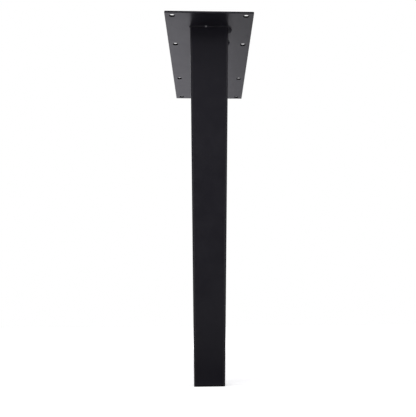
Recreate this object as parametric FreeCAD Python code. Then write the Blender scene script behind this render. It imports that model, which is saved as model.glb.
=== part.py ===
# Square steel table leg: a tapered square tube welded under a long flat mounting plate, with a plug in its
# foot. Millimetres. X runs across the plate, Y along it, Z up. The origin is the centre of the plate's top
# face, which lies against the underside of the table. The tube stands near the plate's -Y end.
import FreeCAD, Part
import math
import os

# Mounting plate
plate_width = 180.0
plate_length = 500.0
plate_thickness = 4.0
plate_corner_radius = 2.0
plate_edge_break = 0.4

# Screw holes, four along each long side
hole_radius = 6.0
hole_side_inset = 15.0
outer_hole_inset = 13.0
inner_hole_inset = 148.0

# Tube, folded from sheet. Equal widths at head and foot give a tube without taper.
leg_height = 735.0
tube_head_width = 80.0
tube_foot_width = 60.0
tube_wall = 3.0
bend_inner_radius = 2.0
tube_end_distance = 58.0

# Weld beads, one along the front of the tube's head and one along the rear. Each swells to a lump where it
# stops: the front bead after its return along the tube's right wall, the rear bead at the right corner.
front_bead_radius = 2.0
front_lump_radius = 8.0
front_lump_past_corner = 17.0
front_return_right = 26.0
front_return_left = 0.5
rear_bead_radius = 5.0
rear_lump_radius = 9.0
rear_lump_before_corner = 4.0
rear_return_right = 2.0
rear_stop_before_left = 5.0
lump_reach = 17.0
bead_end_radius = 0.8
ripple_pitch = 4.0
ripple_height = 0.4
sections_per_ripple = 3
weld_clearance = 0.06

# Foot plug: a lip under the tube's end, and a hollow core with fins that grip inside the tube
lip_thickness = 2.5
lip_edge_round = 0.8
core_height = 24.0
core_wall = 2.5
core_gap = 3.2
core_inner_radius = 1.0
rib_thickness = 2.0
fin_count = 3
fin_thickness = 1.2
fin_spacing = 6.5
fin_clearance = 0.15

# Places that follow from the sizes above
underside_z = -plate_thickness
foot_z = -leg_height
tube_end_z = foot_z + lip_thickness
tube_y = -plate_length / 2 + tube_end_distance + tube_head_width / 2
bend_outer_radius = bend_inner_radius + tube_wall


def tube_outer_width(z):
    share = (underside_z - z) / (underside_z - tube_end_z)
    return tube_head_width + share * (tube_foot_width - tube_head_width)


def tube_inner_width(z):
    return tube_outer_width(z) - 2 * tube_wall


def rounded_rectangle(width, length, radius, x, y, z):
    """Closed wire of four straight runs and four tangent corner arcs, centred on (x, y)."""
    half_x = width / 2 - radius
    half_y = length / 2 - radius
    edges = []
    corners = [(half_x, -half_y, -90), (half_x, half_y, 0), (-half_x, half_y, 90), (-half_x, -half_y, 180)]
    arcs = []
    for corner_x, corner_y, start in corners:
        points = []
        for turn in (0, 45, 90):
            angle = math.radians(start + turn)
            across = x + corner_x + radius * math.cos(angle)
            along = y + corner_y + radius * math.sin(angle)
            points.append(FreeCAD.Vector(across, along, z))
        arcs.append(points)
    for index, arc in enumerate(arcs):
        following = arcs[(index + 1) % len(arcs)]
        edges.append(Part.Arc(*arc).toShape())
        edges.append(Part.LineSegment(arc[-1], following[0]).toShape())
    return Part.Wire(edges)


def tube_section(width, radius, z):
    return rounded_rectangle(width, width, radius, 0, tube_y, z)


def tube_prism(width, radius, z, height):
    face = Part.Face(tube_section(width, radius, z))
    return face.extrude(FreeCAD.Vector(0, 0, height))


def mounting_plate():
    outline = rounded_rectangle(plate_width, plate_length, plate_corner_radius, 0, 0, underside_z)
    plate = Part.Face(outline).extrude(FreeCAD.Vector(0, 0, plate_thickness))
    underside, top = plate.Faces[-2:]
    rims = underside.Edges + top.Edges
    plate = plate.makeChamfer(plate_edge_break, rims)
    hole_x = plate_width / 2 - hole_side_inset
    rows = [plate_length / 2 - outer_hole_inset, plate_length / 2 - inner_hole_inset]
    for side in (-1, 1):
        for end in (-1, 1):
            for row in rows:
                place = FreeCAD.Vector(side * hole_x, end * row, underside_z)
                plate = plate.cut(Part.makeCylinder(hole_radius, plate_thickness, place))
    return plate


def tube_envelope():
    """The tube's outer form, filled."""
    head = tube_section(tube_head_width, bend_outer_radius, underside_z)
    foot = tube_section(tube_foot_width, bend_outer_radius, tube_end_z)
    return Part.makeLoft([head, foot], True, True)


def leg_tube():
    head = tube_section(tube_inner_width(underside_z), bend_inner_radius, underside_z)
    foot = tube_section(tube_inner_width(tube_end_z), bend_inner_radius, tube_end_z)
    return tube_envelope().cut(Part.makeLoft([head, foot], True, True))


def bead_root(travel, side):
    """Point on the outline of the tube's head, and the way out from it there.

    travel runs along the outline from the middle of the face on the given side, negative to the left.
    """
    half = tube_head_width / 2
    core = half - bend_outer_radius
    turn_length = bend_outer_radius * math.pi / 2
    hand = math.copysign(1, travel)
    past_face = abs(travel) - core
    angle = max(0.0, min(past_face, turn_length)) / bend_outer_radius
    across = min(abs(travel), core) + bend_outer_radius * math.sin(angle)
    along = core + bend_outer_radius * math.cos(angle) - max(0.0, past_face - turn_length)
    point = FreeCAD.Vector(hand * across, tube_y + side * along, underside_z)
    out = FreeCAD.Vector(hand * math.sin(angle), side * math.cos(angle), 0)
    return point, out


def bead_size(travel, left_end, right_end, bead_radius, lump_radius, lump_centre):
    """Leg of the bead: saw-toothed ripples, a lump near the right end, and domed ends."""
    ripple = (travel / ripple_pitch) % 1.0
    leg = bead_radius - ripple_height * (1 - ripple) ** 2
    from_lump = (travel - lump_centre) / lump_reach
    leg += (lump_radius - bead_radius) * max(0.0, 1 - from_lump**2)
    to_end = min(travel - left_end, right_end - travel, leg)
    dome = math.sqrt(leg**2 - (leg - to_end) ** 2)
    return max(bead_end_radius, dome)


def bead_section(travel, side, leg):
    """Quarter-round wire in the corner between the tube's wall and the plate."""
    outline, out = bead_root(travel, side)
    point = outline + out * weld_clearance
    down = FreeCAD.Vector(0, 0, -1)
    wall_slope = (tube_head_width - tube_foot_width) / 2 / (underside_z - tube_end_z)
    on_wall = point + down * leg - out * (wall_slope * leg)
    on_plate = point + out * leg
    crown = point + (out + down) * (leg * math.sqrt(0.5))
    return Part.Wire([
        Part.LineSegment(point, on_wall).toShape(),
        Part.Arc(on_wall, crown, on_plate).toShape(),
        Part.LineSegment(on_plate, point).toShape(),
    ])


def weld_bead(side, bead_radius, lump_radius, lump_past_corner, return_right, return_left):
    """One bead along a face of the tube's head, lofted through a section every fraction of a ripple."""
    reach = tube_head_width / 2 - bend_outer_radius + bend_outer_radius * math.pi / 2
    left_end = -reach - return_left
    right_end = reach + return_right
    count = round((right_end - left_end) / ripple_pitch * sections_per_ripple)
    step = (right_end - left_end) / count
    sections = []
    for index in range(count + 1):
        travel = left_end + index * step
        leg = bead_size(travel, left_end, right_end, bead_radius, lump_radius, reach + lump_past_corner)
        sections.append(bead_section(travel, side, leg))
    return Part.makeLoft(sections, True, True)


def foot_plug():
    lip = tube_prism(tube_foot_width, bend_outer_radius, foot_z, lip_thickness)
    sole_edges = [edge for edge in lip.Edges if edge.BoundBox.ZMax < foot_z + lip_thickness / 2]
    plug = lip.makeFillet(lip_edge_round, sole_edges)
    core_width = tube_inner_width(tube_end_z) - 2 * core_gap
    hollow_width = core_width - 2 * core_wall
    core = tube_prism(core_width, core_inner_radius + core_wall, tube_end_z, core_height)
    for level in range(fin_count):
        fin_z = tube_end_z + (level + 0.5) * fin_spacing
        fin_width = tube_inner_width(fin_z) - 2 * fin_clearance
        core = core.fuse(tube_prism(fin_width, bend_inner_radius, fin_z, fin_thickness))
    hollow = tube_prism(hollow_width, core_inner_radius, tube_end_z, core_height)
    plug = plug.fuse(core.cut(hollow))
    for along, across in ((hollow_width, rib_thickness), (rib_thickness, hollow_width)):
        corner = FreeCAD.Vector(-along / 2, tube_y - across / 2, tube_end_z)
        plug = plug.fuse(Part.makeBox(along, across, core_height, corner))
    return plug.removeSplitter()


def main():
    os.makedirs("parts", exist_ok=True)
    front_ends = (front_lump_past_corner, front_return_right, front_return_left)
    rear_ends = (-rear_lump_before_corner, rear_return_right, -rear_stop_before_left)
    parts = {
        "mounting_plate": mounting_plate(),
        "leg_tube": leg_tube(),
        "front_weld": weld_bead(-1, front_bead_radius, front_lump_radius, *front_ends),
        "rear_weld": weld_bead(1, rear_bead_radius, rear_lump_radius, *rear_ends),
        "foot_plug": foot_plug(),
    }
    for name, shape in parts.items():
        shape.exportStep(f"parts/{name}.step")


main()
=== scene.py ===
# Looks of the square steel table leg: powder coat, weld beads, foot plug, and a plain studio round it.
# Metres, in the part's own frame: X across the plate, Y along it, Z up, origin on the plate's top face.
import math
from collections import namedtuple

import bmesh
import bpy
from mathutils import Matrix, Vector, noise


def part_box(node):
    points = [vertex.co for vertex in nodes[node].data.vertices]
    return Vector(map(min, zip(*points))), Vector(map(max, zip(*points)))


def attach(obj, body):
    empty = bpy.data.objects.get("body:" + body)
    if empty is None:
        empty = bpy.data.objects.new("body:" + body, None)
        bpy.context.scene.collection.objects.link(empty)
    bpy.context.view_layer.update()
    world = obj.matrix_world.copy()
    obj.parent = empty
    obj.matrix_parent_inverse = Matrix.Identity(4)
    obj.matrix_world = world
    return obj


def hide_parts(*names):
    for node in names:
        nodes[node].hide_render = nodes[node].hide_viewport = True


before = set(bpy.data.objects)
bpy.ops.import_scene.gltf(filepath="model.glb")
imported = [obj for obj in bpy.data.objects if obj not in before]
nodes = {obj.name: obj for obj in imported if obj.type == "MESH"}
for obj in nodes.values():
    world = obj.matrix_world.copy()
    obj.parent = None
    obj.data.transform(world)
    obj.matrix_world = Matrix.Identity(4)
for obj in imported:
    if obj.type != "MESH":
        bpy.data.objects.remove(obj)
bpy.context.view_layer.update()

# Picture frame and the camera found from the plate's corners, the holes and the tube's ends
PICTURE_WIDTH = 416
PICTURE_HEIGHT = 417
SENSOR = 36.0
FOCAL_PIXELS = 635.15
CAMERA_PLACE = Vector((-0.00166, -1.43709, -0.60772))
CAMERA_PITCH = math.radians(9.534)
CAMERA_TURN = math.radians(2.594)
CAMERA_ROLL = math.radians(-0.482)
PICTURE_CENTRE = (236.99, 212.35)

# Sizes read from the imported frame
plate_low, plate_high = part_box("mounting_plate")
tube_low, tube_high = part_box("leg_tube")
plug_low, plug_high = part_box("foot_plug")
PLATE_HALF_WIDTH = (plate_high.x - plate_low.x) / 2
PLATE_HALF_LENGTH = (plate_high.y - plate_low.y) / 2
UNDERSIDE = plate_low.z
HEAD_HALF = (tube_high.x - tube_low.x) / 2
TUBE_Y = (tube_high.y + tube_low.y) / 2
FOOT_HALF = (plug_high.x - plug_low.x) / 2
WALL_SLOPE = (HEAD_HALF - FOOT_HALF) / (tube_high.z - tube_low.z)
FLOOR_Z = plug_low.z

# Screw holes: radius, distance from the middle line, and distances of the two rows from the middle. A face is
# a hole's wall if its centre lies within the radius and a margin, and its normal is close to level.
HOLE_RADIUS = 0.006
HOLE_MARGIN = 0.0001
HOLE_X = 0.075
HOLE_ROWS = (0.237, 0.102)
HOLE_WALL_TILT = 0.5

# Weld beads, as the part's own but for their lumps, which are shorter, as in the photo.
# side: -1 at the front of the tube, 1 at the rear. run_leg and lump_leg: the bead's leg along its run and at
# its lump. lump_past, right_past and left_past: how far past the corner the lump's middle and the ends lie.
# lump_reach: half the lump's length. meeting: where two runs meet in a small knot, from mid-face.
Bead = namedtuple("Bead", "side run_leg lump_leg lump_past lump_reach right_past left_past meeting")
BEADS = {
    "front_weld": Bead(
        side=-1, run_leg=0.002, lump_leg=0.0075, lump_past=0.011, lump_reach=0.012,
        right_past=0.021, left_past=0.0005, meeting=-0.0069,
    ),
    "rear_weld": Bead(
        side=1, run_leg=0.005, lump_leg=0.009, lump_past=-0.004, lump_reach=0.015,
        right_past=0.0004, left_past=-0.005, meeting=0.011,
    ),
}
BEND_RADIUS = 0.005
WELD_GAP = 0.00006
END_LEG = 0.0004
MEETING_REACH = 0.0016
MEETING_SWELL = 0.55
BEAD_STEP = 0.0002
BEAD_ARC_STEPS = 18

# Unevenness of the beads' legs: waves along the bead, share of the leg, and places in the noise
WAVER_RATE = 90
WAVER_SHARE = 0.07
WAVER_SIDE = 3.1
WAVER_LAYER = 0.7

# Ripples: their pitch and depth, the shares of a pitch in which they rise and fall, and their middle level.
# They bow forward over the crown and at the plate, and stray a little.
RIPPLE_PITCH = 0.0022
RIPPLE_DEPTH = 0.056
RIPPLE_RISE = 0.8
RIPPLE_FALL = 0.2
RIPPLE_LEVEL = 0.6
BOW_CROWN = 0.55
BOW_PLATE = 0.35
STRAY_SHARE = 0.35
STRAY_RATE = 260
STRAY_SIDE = 2.3

# In the tables below a noise is its scale, detail and roughness. A range is where a value starts and ends,
# and often also what it turns into there. A bump is its strength and its depth.

# Black semi-gloss powder coat
COAT_COLOUR = (0.0158, 0.0146, 0.0216)
COAT_WORN = (0.0225, 0.0210, 0.0285)
COAT_DUST = (0.060, 0.058, 0.058)
# Steel-bright colour of the painted glint on the front bead's knot
KNOT_GLINT_COLOUR = (0.40, 0.39, 0.40)
COAT_IOR = 1.5
PLATE_ROUGHNESS = 0.31
PLATE_GLOSS_SPREAD = 0.45
TUBE_ROUGHNESS = 0.34
WELD_ROUGHNESS = 0.66
CLOUD_NOISE = (14.0, 4.0, 0.6)
SMEAR_NOISE = (55.0, 3.0)
GRIT_NOISE = (2600.0, 1.0)
WEAR_RANGE = (0.3, 0.7, 0.0, 0.35)
CLOUD_GLOSS = (0.25, 0.75, -0.04, 0.04)
SMEAR_GLOSS = (0.3, 0.7, -0.025, 0.035)

# Specks of dust, the plate's rubbed rim, and the painted glint, a steel-bright spot on the front bead's knot
SPECK_RANGE = (0.755, 0.80)
SPECK_PATCHES = (0.52, 0.7)
SPECK_SHARE = 0.6
RIM_RANGE = (0.0, 0.0011, 1.0, 0.0)
RIM_PATCHES = (0.45, 0.62)
RIM_SHARE = 0.2
KNOT_REACH = 0.0031
KNOT_RANGE = (KNOT_REACH / 2, KNOT_REACH, 1.0, 0.0)
KNOT_GRIT = (0.3, 0.5)

# Orange peel, stronger on the weld, and the tube's ground seam along the middle of its rear wall
PEEL_NOISE = (620.0, 2.0, 0.45)
FINE_NOISE = (1900.0, 1.0)
FINE_SHARE = 0.35
PEEL_STRENGTH = 0.30
PEEL_DEPTH = 0.00012
WELD_PEEL = 1.4
SEAM_STRAY = 0.0006
SEAM_RANGE = (0.0004, 0.0032, 1.0, 0.0)
SEAM_FADE = 0.01
SEAM_HEIGHT = 2.5

# Thin dull coat in the screw holes, its colour darkened as painted shade in the holes
HOLE_PAINTED_SHADE = (0.0042, 0.0040, 0.0050)
HOLE_SHADE_RUBBED = (0.011, 0.0105, 0.012)
HOLE_SPECULAR = 0.08
HOLE_NOISE = (420.0, 3.0, 0.6)
HOLE_PATCHES = (0.45, 0.7)
HOLE_ROUGHNESS = (0.3, 0.7, 0.55, 0.8)
HOLE_GRAIN_NOISE = (1500.0, 2.0)
HOLE_BUMP = (0.4, 0.0001)

# Black plastic of the foot plug
PLASTIC_COLOUR = (0.0040, 0.0040, 0.0044)
PLASTIC_SCUFF = (0.018, 0.018, 0.0185)
PLASTIC_SPECULAR = 0.25
GRAIN_NOISE = (3200.0, 2.0)
SCRATCH_NOISE = (240.0, 5.0, 0.7)
SCUFF_RANGE = (FLOOR_Z, FLOOR_Z + 0.0008, 1.0, 0.0)
SCUFF_PATCHES = (0.48, 0.66)
PLASTIC_ROUGHNESS = (0.3, 0.7, 0.46, 0.6)
PLASTIC_BUMP = (0.35, 0.00008)

# Floor: its colour, darker on the photo's side of the leg and dark close in front of the foot, and how white
# it looks near the leg and further off
FLOOR_REACH = 9.0
FLOOR_SQUARES = 4
FLOOR_DROP = 0.0001
FLOOR_COLOUR = (0.80, 0.80, 0.80)
FLOOR_FRONT = (0.70, 0.70, 0.70)
FLOOR_DARK = (0.04, 0.04, 0.04)
FRONT_RANGE = (-0.24, -0.12, 1.0, 0.0)
DARK_RANGE = (0.2, 1.1)
WHITE_RANGE = (0.6, 1.8)
WHITENESS_RANGE = (0.0, 1.0, 0.60, 1.0)

# The floor's glow behind the leg, as reflections see it: it rises and falls with the distance, and is
# stronger on the left near the leg, which evens out further back
GLOW_RISE = (0.2, 1.1, 0.0, 0.45)
GLOW_FALL = (1.2, 2.6, 1.0, 0.55)
GLOW_LEFT = (-0.3, 0.3, 2.2, 0.0)
GLOW_EVENING = (1.0, 2.6, 1.0, 0.35)

# Room, as the object sees it: dim below and lighter above, with a bright patch behind the leg and a faint one
# high in front of it
ROOM_TINT = (0.925, 0.905, 1.0)
ROOM_LOW = 0.04
ROOM_RANGE = (-0.1, 0.45, ROOM_LOW, 0.20)
ROOM_BACK = 0.85
ROOM_BACK_RANGE = (0.88, 0.99, 0.0, 1.0)
ROOM_FRONT_RANGE = (0.80, 0.98, 0.0, 0.08)
ROOM_FRONT_TILT = math.radians(40)
WHITE = (1.0, 1.0, 1.0)

# Lamps: name, place, size and watts, all aimed at the tube's middle line
LAMP_AIM = Vector((0, TUBE_Y, -0.3))
LAMPS = [
    ("top", (-0.2, -1.0, 2.3), 1.7, 34.0),
    ("key", (-1.9, -1.5, 1.5), 1.6, 6.0),
    ("fill", (2.2, -1.0, 0.9), 1.8, 4.0),
    ("back", (-0.8, 2.4, 1.6), 1.8, 24.0),
    ("low_left", (-1.5, -1.7, -0.30), 1.2, 3.0),
    ("low_right", (1.5, -1.7, -0.30), 1.2, 3.0),
]


class Nodes:
    """Short calls for building a node tree."""

    def __init__(self, tree):
        self.tree = tree
        tree.nodes.clear()

    def add(self, kind, **settings):
        node = self.tree.nodes.new(kind)
        for name, value in settings.items():
            setattr(node, name, value)
        return node

    def link(self, source, target):
        self.tree.links.new(source, target)

    def feed(self, socket, value):
        if isinstance(value, bpy.types.NodeSocket):
            self.link(value, socket)
        else:
            socket.default_value = value

    def axes(self, where):
        node = self.add("ShaderNodeSeparateXYZ")
        self.link(where, node.inputs[0])
        return node.outputs

    def math(self, operation, first, second=0.0, third=0.0):
        node = self.add("ShaderNodeMath", operation=operation)
        for socket, value in zip(node.inputs, (first, second, third)):
            self.feed(socket, value)
        return node.outputs[0]

    def distance(self, across, along):
        squares = [self.math("MULTIPLY", value, value) for value in (across, along)]
        return self.math("SQRT", self.math("ADD", *squares))

    def span(self, value, low, high, to_low=0.0, to_high=1.0):
        node = self.add("ShaderNodeMapRange", interpolation_type="SMOOTHSTEP")
        for name, number in (
            ("Value", value), ("From Min", low), ("From Max", high), ("To Min", to_low), ("To Max", to_high),
        ):
            self.feed(node.inputs[name], number)
        return node.outputs[0]

    def noise(self, where, scale, detail, roughness=0.5):
        node = self.add("ShaderNodeTexNoise")
        self.link(where, node.inputs["Vector"])
        node.inputs["Scale"].default_value = scale
        node.inputs["Detail"].default_value = detail
        node.inputs["Roughness"].default_value = roughness
        return node.outputs["Fac"]

    def blend(self, factor, first, second):
        node = self.add("ShaderNodeMix", data_type="RGBA")
        self.feed(node.inputs["Factor"], factor)
        for name, colour in (("A", first), ("B", second)):
            socket = [one for one in node.inputs if one.name == name and one.type == "RGBA"][0]
            self.feed(socket, colour if isinstance(colour, bpy.types.NodeSocket) else (*colour, 1.0))
        return [one for one in node.outputs if one.type == "RGBA"][0]

    def bump(self, shader, height, strength, depth):
        node = self.add("ShaderNodeBump")
        node.inputs["Strength"].default_value = strength
        node.inputs["Distance"].default_value = depth
        self.link(height, node.inputs["Height"])
        self.link(node.outputs[0], shader.inputs["Normal"])


def new_material(name):
    material = bpy.data.materials.new(name)
    material.use_nodes = True
    build = Nodes(material.node_tree)
    output = build.add("ShaderNodeOutputMaterial")
    shader = build.add("ShaderNodeBsdfPrincipled")
    build.link(shader.outputs[0], output.inputs["Surface"])
    where = build.add("ShaderNodeTexCoord").outputs["Object"]
    return material, build, shader, where


def powder_coat(name, roughness, spread=1.0, peel=1.0, worn_rim=False, seam=False, painted_glint_knot=False):
    """Orange-peel bump, cloudy gloss, specks of dust and rubbed rims.

    The tube also shows its ground seam, and the weld a painted glint: a steel-bright spot on the knot of the
    front bead.
    """
    material, build, shader, where = new_material(name)
    x, y, _ = build.axes(where)

    clouds = build.noise(where, *CLOUD_NOISE)
    smears = build.noise(where, *SMEAR_NOISE)
    grit = build.noise(where, *GRIT_NOISE)
    colour = build.blend(build.span(clouds, *WEAR_RANGE), COAT_COLOUR, COAT_WORN)
    dusty = build.math("MULTIPLY", build.span(grit, *SPECK_RANGE), build.span(smears, *SPECK_PATCHES))
    colour = build.blend(build.math("MULTIPLY", dusty, SPECK_SHARE), colour, COAT_DUST)
    if worn_rim:
        from_side = build.math("SUBTRACT", PLATE_HALF_WIDTH, build.math("ABSOLUTE", x))
        from_end = build.math("SUBTRACT", PLATE_HALF_LENGTH, build.math("ABSOLUTE", y))
        rim = build.span(build.math("MINIMUM", from_side, from_end), *RIM_RANGE)
        rubbed = build.math("MULTIPLY", rim, build.span(smears, *RIM_PATCHES))
        colour = build.blend(build.math("MULTIPLY", rubbed, RIM_SHARE), colour, COAT_DUST)
    # Painted glint: a steel-bright spot in the colour on the crown of the front bead's knot
    if painted_glint_knot:
        across = build.math("SUBTRACT", x, BEADS["front_weld"].meeting)
        along = build.math("SUBTRACT", y, TUBE_Y - HEAD_HALF - KNOT_REACH)
        knot = build.span(build.distance(across, along), *KNOT_RANGE)
        colour = build.blend(build.math("MULTIPLY", knot, build.span(grit, *KNOT_GRIT)), colour, KNOT_GLINT_COLOUR)
    build.link(colour, shader.inputs["Base Color"])

    unevenness = build.math("ADD", build.span(clouds, *CLOUD_GLOSS), build.span(smears, *SMEAR_GLOSS))
    build.link(build.math("MULTIPLY_ADD", unevenness, spread, roughness), shader.inputs["Roughness"])
    shader.inputs["IOR"].default_value = COAT_IOR

    fine_waves = build.math("MULTIPLY", build.noise(where, *FINE_NOISE), FINE_SHARE)
    height = build.math("ADD", build.noise(where, *PEEL_NOISE), fine_waves)
    if seam:
        stray = build.math("MULTIPLY", smears, SEAM_STRAY)
        ridge = build.span(build.math("ABSOLUTE", build.math("ADD", x, stray)), *SEAM_RANGE)
        ridge = build.math("MULTIPLY", ridge, build.span(y, TUBE_Y, TUBE_Y + SEAM_FADE))
        height = build.math("ADD", height, build.math("MULTIPLY", ridge, SEAM_HEIGHT))
    build.bump(shader, height, PEEL_STRENGTH * peel, PEEL_DEPTH)
    return material


def thin_coat_painted_shade(name):
    """Thin, dull coat that only just reaches into the screw holes, coloured far darker than the coat as
    painted shade, with darker and rubbed patches.
    """
    material, build, shader, where = new_material(name)
    patches = build.noise(where, *HOLE_NOISE)
    # Painted shade: the holes' walls take a colour much darker than the coat's
    colour = build.blend(build.span(patches, *HOLE_PATCHES), HOLE_PAINTED_SHADE, HOLE_SHADE_RUBBED)
    build.link(colour, shader.inputs["Base Color"])
    build.link(build.span(patches, *HOLE_ROUGHNESS), shader.inputs["Roughness"])
    shader.inputs["Specular IOR Level"].default_value = HOLE_SPECULAR
    build.bump(shader, build.noise(where, *HOLE_GRAIN_NOISE), *HOLE_BUMP)
    return material


def moulded_plastic(name):
    """Black plastic with a fine spark-eroded grain, scuffed where it meets the floor."""
    material, build, shader, where = new_material(name)
    _, _, z = build.axes(where)
    scratches = build.noise(where, *SCRATCH_NOISE)
    scuffed = build.math("MULTIPLY", build.span(z, *SCUFF_RANGE), build.span(scratches, *SCUFF_PATCHES))
    build.link(build.blend(scuffed, PLASTIC_COLOUR, PLASTIC_SCUFF), shader.inputs["Base Color"])
    build.link(build.span(scratches, *PLASTIC_ROUGHNESS), shader.inputs["Roughness"])
    shader.inputs["Specular IOR Level"].default_value = PLASTIC_SPECULAR
    build.bump(shader, build.noise(where, *GRAIN_NOISE), *PLASTIC_BUMP)
    return material


def coat_node(name, material):
    mesh = nodes[name].data
    mesh.materials.clear()
    mesh.materials.append(material)


def coat_holes(material):
    """Gives the plate's faces inside the screw holes the thin coat with its painted shade."""
    mesh = nodes["mounting_plate"].data
    mesh.materials.append(material)
    for face in mesh.polygons:
        across = abs(face.center.x) - HOLE_X
        along = min(abs(abs(face.center.y) - row) for row in HOLE_ROWS)
        is_wall = abs(face.normal.z) < HOLE_WALL_TILT
        if is_wall and math.hypot(across, along) < HOLE_RADIUS + HOLE_MARGIN:
            face.material_index = 1


def new_object(name, mesh):
    """Turns a bmesh into an object of the scene."""
    data = bpy.data.meshes.new(name)
    mesh.to_mesh(data)
    mesh.free()
    result = bpy.data.objects.new(name, data)
    bpy.context.scene.collection.objects.link(result)
    return result


def bead_root(travel, side):
    """Point on the outline of the tube's head, and the way out from it, travel metres from mid-face."""
    core = HEAD_HALF - BEND_RADIUS
    turn_length = BEND_RADIUS * math.pi / 2
    hand = math.copysign(1, travel)
    past_face = abs(travel) - core
    angle = max(0.0, min(past_face, turn_length)) / BEND_RADIUS
    across = min(abs(travel), core) + BEND_RADIUS * math.sin(angle)
    along = core + BEND_RADIUS * math.cos(angle) - max(0.0, past_face - turn_length)
    point = Vector((hand * across, TUBE_Y + side * along, UNDERSIDE))
    out = Vector((hand * math.sin(angle), side * math.cos(angle), 0))
    return point, out


def bead_stations(bead):
    """Where the bead's left end, its lump and its right end lie, from mid-face."""
    corner = HEAD_HALF - BEND_RADIUS + BEND_RADIUS * math.pi / 2
    return -corner - bead.left_past, corner + bead.lump_past, corner + bead.right_past


def bead_leg(travel, bead):
    """Leg of the bead: uneven along its run, swelling to the lump, domed at both ends."""
    left_end, lump, right_end = bead_stations(bead)
    waver = noise.noise(Vector((travel * WAVER_RATE, bead.side * WAVER_SIDE, WAVER_LAYER)))
    leg = bead.run_leg * (1 + WAVER_SHARE * waver)
    from_lump = (travel - lump) / bead.lump_reach
    leg += (bead.lump_leg - leg) * max(0.0, 1 - from_lump**2)
    to_end = min(travel - left_end, right_end - travel, leg)
    return max(END_LEG, math.sqrt(max(0.0, leg**2 - (leg - to_end) ** 2)))


def ripple(travel, turn, side):
    """Height of the frozen ripples, a slow rise and a steep fall, nothing at the wall and at the plate."""
    if not 0 < turn < math.pi / 2:
        return 0.0
    bow = BOW_CROWN * math.sin(turn) * math.sin(2 * turn) + BOW_PLATE * math.sin(turn)
    stray = STRAY_SHARE * noise.noise(Vector((travel * STRAY_RATE, side * STRAY_SIDE, turn)))
    phase = (travel / RIPPLE_PITCH + bow + stray) % 1.0
    rise = min(phase / RIPPLE_RISE, (1 - phase) / RIPPLE_FALL)
    return (rise - RIPPLE_LEVEL) * math.sin(2 * turn) ** 0.5


def bead_ring(travel, bead):
    """Points of one section: its root, then the arc from the tube's wall over the crown to the plate."""
    outline, out = bead_root(travel, bead.side)
    down = Vector((0, 0, -1))
    root = outline + out * WELD_GAP
    leg = bead_leg(travel, bead)
    swell = MEETING_SWELL * math.exp(-((travel - bead.meeting) / MEETING_REACH) ** 2)
    ring = [root]
    for arc_index in range(BEAD_ARC_STEPS + 1):
        turn = math.pi / 2 * arc_index / BEAD_ARC_STEPS
        size = leg * (1 + RIPPLE_DEPTH * ripple(travel, turn, bead.side) + swell)
        wall_back = out * (WALL_SLOPE * size * math.cos(turn))
        ring.append(root + (out * math.sin(turn) + down * math.cos(turn)) * size - wall_back)
    return ring


def weld_bead(node, material):
    """Detailed mesh of one bead, swept round the tube's head, in place of the part's own."""
    bead = BEADS[node]
    left_end, _, right_end = bead_stations(bead)
    steps = round((right_end - left_end) / BEAD_STEP)
    mesh = bmesh.new()
    rings = []
    for index in range(steps + 1):
        travel = left_end + (right_end - left_end) * index / steps
        rings.append([mesh.verts.new(point) for point in bead_ring(travel, bead)])
    for ring, following in zip(rings, rings[1:]):
        for index in range(len(ring)):
            after = (index + 1) % len(ring)
            mesh.faces.new((ring[index], following[index], following[after], ring[after]))
    mesh.faces.new(rings[0])
    mesh.faces.new(reversed(rings[-1]))
    bmesh.ops.recalc_face_normals(mesh, faces=mesh.faces)
    weld = new_object(node + "_bead", mesh)
    weld.data.shade_smooth()
    weld.data.materials.append(material)
    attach(weld, "root")
    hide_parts(node)


def floor_material():
    """White to the camera, shadowed and a shade darker near the leg, with the glow that reflections see."""
    material = bpy.data.materials.new("pale_floor")
    material.use_nodes = True
    build = Nodes(material.node_tree)
    output = build.add("ShaderNodeOutputMaterial")
    x, y, _ = build.axes(build.add("ShaderNodeTexCoord").outputs["Object"])
    path = build.add("ShaderNodeLightPath")

    in_front = build.span(y, *FRONT_RANGE)
    before_foot = build.math("SUBTRACT", y, TUBE_Y - FOOT_HALF)
    off_foot = build.span(build.distance(x, before_foot), *DARK_RANGE)
    front_colour = build.blend(off_foot, FLOOR_DARK, FLOOR_FRONT)
    diffuse = build.add("ShaderNodeBsdfDiffuse")
    build.link(build.blend(in_front, FLOOR_COLOUR, front_colour), diffuse.inputs["Color"])

    far = build.math("MAXIMUM", in_front, build.span(build.distance(x, y), *WHITE_RANGE))
    whiteness = build.span(far, *WHITENESS_RANGE)
    to_camera = build.math("MULTIPLY", path.outputs["Is Camera Ray"], whiteness)

    leftward = build.math("SUBTRACT", build.span(x, *GLOW_LEFT), 1.0)
    leftward = build.math("MULTIPLY", leftward, build.span(y, *GLOW_EVENING))
    behind = build.math("MULTIPLY", build.math("ADD", leftward, 1.0), build.span(y, *GLOW_RISE))
    behind = build.math("MULTIPLY", behind, build.span(y, *GLOW_FALL))
    mirrored = build.math("MULTIPLY", path.outputs["Is Glossy Ray"], behind)

    glow = build.add("ShaderNodeEmission")
    build.link(build.math("ADD", to_camera, mirrored), glow.inputs["Strength"])
    build.link(build.blend(path.outputs["Is Camera Ray"], ROOM_TINT, WHITE), glow.inputs["Color"])
    both = build.add("ShaderNodeAddShader")
    build.link(diffuse.outputs[0], both.inputs[0])
    build.link(glow.outputs[0], both.inputs[1])
    build.link(both.outputs[0], output.inputs["Surface"])
    return material


def make_floor():
    mesh = bmesh.new()
    bmesh.ops.create_grid(mesh, x_segments=FLOOR_SQUARES, y_segments=FLOOR_SQUARES, size=FLOOR_REACH)
    bmesh.ops.translate(mesh, verts=mesh.verts, vec=(0, 0, FLOOR_Z - FLOOR_DROP))
    floor = new_object("floor", mesh)
    floor.data.materials.append(floor_material())


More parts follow.
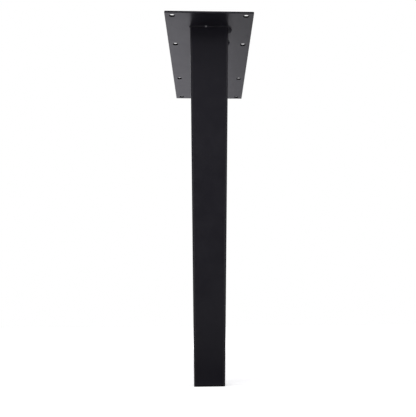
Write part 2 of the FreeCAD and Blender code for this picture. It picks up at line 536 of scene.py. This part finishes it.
def make_world():
    """White to the camera, and the dimmer room to everything else."""
    world = bpy.data.worlds.new("studio")
    bpy.context.scene.world = world
    world.use_nodes = True
    build = Nodes(world.node_tree)
    output = build.add("ShaderNodeOutputWorld")
    _, y, z = build.axes(build.add("ShaderNodeTexCoord").outputs["Generated"])
    behind = build.math("MULTIPLY", build.span(y, *ROOM_BACK_RANGE), ROOM_BACK - ROOM_LOW)
    level = build.math("ADD", build.span(z, *ROOM_RANGE), behind)
    upward = build.math("MULTIPLY", z, math.sin(ROOM_FRONT_TILT))
    in_front = build.math("MULTIPLY_ADD", y, -math.cos(ROOM_FRONT_TILT), upward)
    level = build.math("ADD", level, build.span(in_front, *ROOM_FRONT_RANGE))
    room = build.add("ShaderNodeBackground")
    room.inputs["Color"].default_value = (*ROOM_TINT, 1.0)
    build.link(level, room.inputs["Strength"])
    white = build.add("ShaderNodeBackground")
    white.inputs["Color"].default_value = (*WHITE, 1.0)
    white.inputs["Strength"].default_value = 1.0
    mixed = build.add("ShaderNodeMixShader")
    build.link(build.add("ShaderNodeLightPath").outputs["Is Camera Ray"], mixed.inputs["Fac"])
    build.link(room.outputs[0], mixed.inputs[1])
    build.link(white.outputs[0], mixed.inputs[2])
    build.link(mixed.outputs[0], output.inputs["Surface"])


def make_lamps():
    for name, place, size, watts in LAMPS:
        data = bpy.data.lights.new(name, "AREA")
        data.shape = "DISK"
        data.size = size
        data.energy = watts
        lamp = bpy.data.objects.new(name, data)
        bpy.context.scene.collection.objects.link(lamp)
        lamp.location = place
        lamp.rotation_euler = (Vector(place) - LAMP_AIM).to_track_quat("Z", "Y").to_euler()


def make_camera():
    forward = Vector((
        math.sin(CAMERA_TURN) * math.cos(CAMERA_PITCH),
        math.cos(CAMERA_TURN) * math.cos(CAMERA_PITCH),
        math.sin(CAMERA_PITCH),
    ))
    level = Vector((math.cos(CAMERA_TURN), -math.sin(CAMERA_TURN), 0))
    upright = level.cross(forward)
    right = level * math.cos(CAMERA_ROLL) + upright * math.sin(CAMERA_ROLL)
    up = upright * math.cos(CAMERA_ROLL) - level * math.sin(CAMERA_ROLL)
    data = bpy.data.cameras.new("photo_camera")
    data.sensor_width = SENSOR
    data.lens = FOCAL_PIXELS / PICTURE_HEIGHT * SENSOR
    data.shift_x = (PICTURE_WIDTH / 2 - PICTURE_CENTRE[0]) / PICTURE_HEIGHT
    data.shift_y = (PICTURE_CENTRE[1] - PICTURE_HEIGHT / 2) / PICTURE_HEIGHT
    camera = bpy.data.objects.new("photo_camera", data)
    bpy.context.scene.collection.objects.link(camera)
    turned = Matrix((right, up, -forward)).transposed().to_4x4()
    camera.matrix_world = Matrix.Translation(CAMERA_PLACE) @ turned
    bpy.context.scene.camera = camera


make_camera()
make_world()
make_floor()
make_lamps()
weld_coat = powder_coat("weld_coat", WELD_ROUGHNESS, peel=WELD_PEEL, painted_glint_knot=True)
plate_coat = powder_coat("plate_coat", PLATE_ROUGHNESS, spread=PLATE_GLOSS_SPREAD, worn_rim=True)
coat_node("mounting_plate", plate_coat)
coat_holes(thin_coat_painted_shade("hole_shade_coat"))
coat_node("leg_tube", powder_coat("tube_coat", TUBE_ROUGHNESS, seam=True))
coat_node("foot_plug", moulded_plastic("plug_plastic"))
for welded in BEADS:
    weld_bead(welded, weld_coat)
bpy.context.scene.view_settings.view_transform = "Standard"
